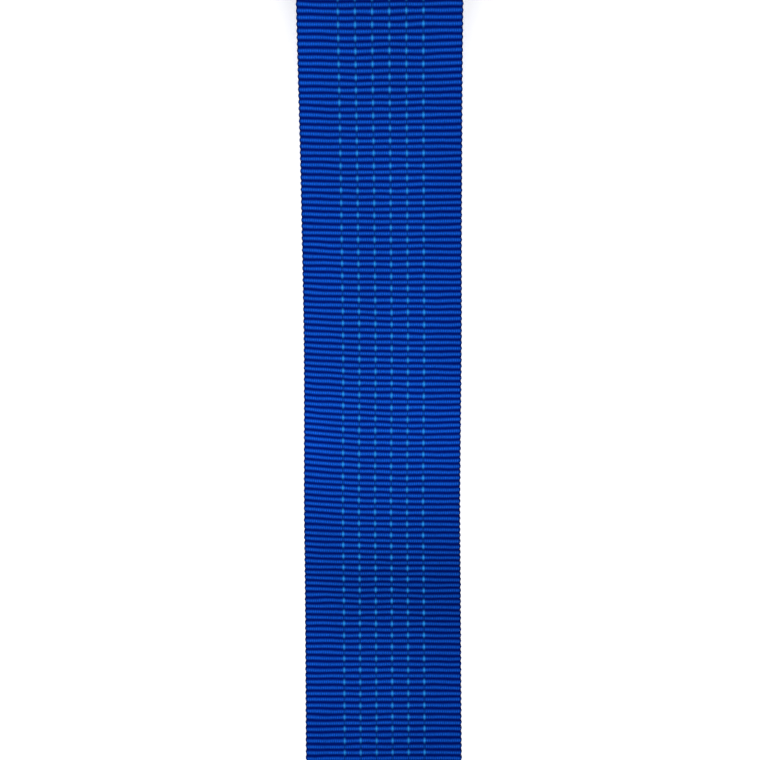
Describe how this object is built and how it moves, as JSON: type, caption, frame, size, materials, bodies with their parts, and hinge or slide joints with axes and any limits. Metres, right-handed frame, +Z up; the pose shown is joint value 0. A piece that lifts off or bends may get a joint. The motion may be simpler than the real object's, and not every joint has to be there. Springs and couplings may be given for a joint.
{
  "type": "ratchet tie down",
  "caption": "Ratchet tie-down strap: blue one-inch webbing through a steel ratchet buckle, a wire hook at each end, spare length folded and tied.",
  "frame": {"origin": "under the middle of the ratchet's base web, on the surface that the tie-down lies on", "axes": "+Z up, +X along the webbing from the ratchet towards the long strap, +Y across the webbing"},
  "size_m": [0.5912, 0.0524, 0.0652],
  "materials": {
    "webbing": "ribbed woven polyester, royal blue with pale tracer yarns",
    "tie_tape": "black hook-and-loop tape",
    "label": "blank white woven label",
    "zinc": "clear zinc plated, satin",
    "wheel_steel": "yellow zinc plated",
    "bolt_steel": "zinc plated fastener",
    "hook_zinc": "zinc plated wire",
    "spring_steel": "bright spring wire",
    "grip_rubber": "matt moulded rubber"
  },
  "bodies": {
    "frame": {"base_frame": "zinc", "anchor_bolt": "bolt_steel", "anchor_sleeve": "zinc", "anchor_nut": "bolt_steel", "lock_spring": "spring_steel", "long_strap_run": "webbing", "long_strap_hank": "webbing", "long_strap_end": "webbing", "hank_tie_near": "tie_tape", "hank_tie_far": "tie_tape"},
    "spool": {"mandrel_half_upper": "zinc", "mandrel_half_lower": "zinc", "ratchet_wheel_left": "wheel_steel", "ratchet_wheel_right": "wheel_steel", "spool_washer_left": "zinc", "spool_washer_right": "zinc", "cotter_pin_left": "zinc", "cotter_pin_right": "zinc", "strap_in_slot": "webbing"},
    "handle": {"handle_frame": "zinc", "handle_grip": "grip_rubber", "grip_rivet_left": "zinc", "grip_rivet_right": "zinc", "drive_spring": "spring_steel"},
    "drive_pawl": {"drive_pawl": "wheel_steel"},
    "lock_pawl": {"lock_pawl": "wheel_steel"},
    "short_strap": {"short_strap": "webbing", "label_tag": "label"},
    "short_hook": {"short_hook": "hook_zinc"},
    "long_hook": {"long_hook": "hook_zinc"}
  },
  "joints": [
    {"name": "handle_swing", "type": "hinge", "parent": "frame", "child": "handle", "pos_m": [0.042, 0, 0.019], "axis": [0, 1, 0], "range_deg": [0, 160]},
    {"name": "spool_turn", "type": "hinge", "parent": "frame", "child": "spool", "pos_m": [0.042, 0, 0.019], "axis": [0, 1, 0], "continuous": true},
    {"name": "drive_pawl_slide", "type": "slide", "parent": "handle", "child": "drive_pawl", "axis": [-1, 0, 0], "range_m": [0, 0.0045], "stiffness_N_per_m": 600, "springref_m": -0.004, "deforming": ["drive_spring"]},
    {"name": "lock_pawl_slide", "type": "slide", "parent": "frame", "child": "lock_pawl", "axis": [-1, 0, 0], "range_m": [0, 0.0045], "stiffness_N_per_m": 600, "springref_m": -0.004, "deforming": ["lock_spring"]},
    {"name": "short_strap_swing", "type": "hinge", "parent": "frame", "child": "short_strap", "pos_m": [-0.04, 0, 0.008], "axis": [0, 1, 0], "range_deg": [0, 25]},
    {"name": "short_hook_swing", "type": "hinge", "parent": "short_strap", "child": "short_hook", "pos_m": [-0.16, 0, 0.0044], "axis": [0, 1, 0], "range_deg": [0, 120]},
    {"name": "long_hook_swing", "type": "hinge", "parent": "frame", "child": "long_hook", "pos_m": [0.268, 0, 0.039], "axis": [0, -1, 0], "range_deg": [0, 120]}
  ]
}
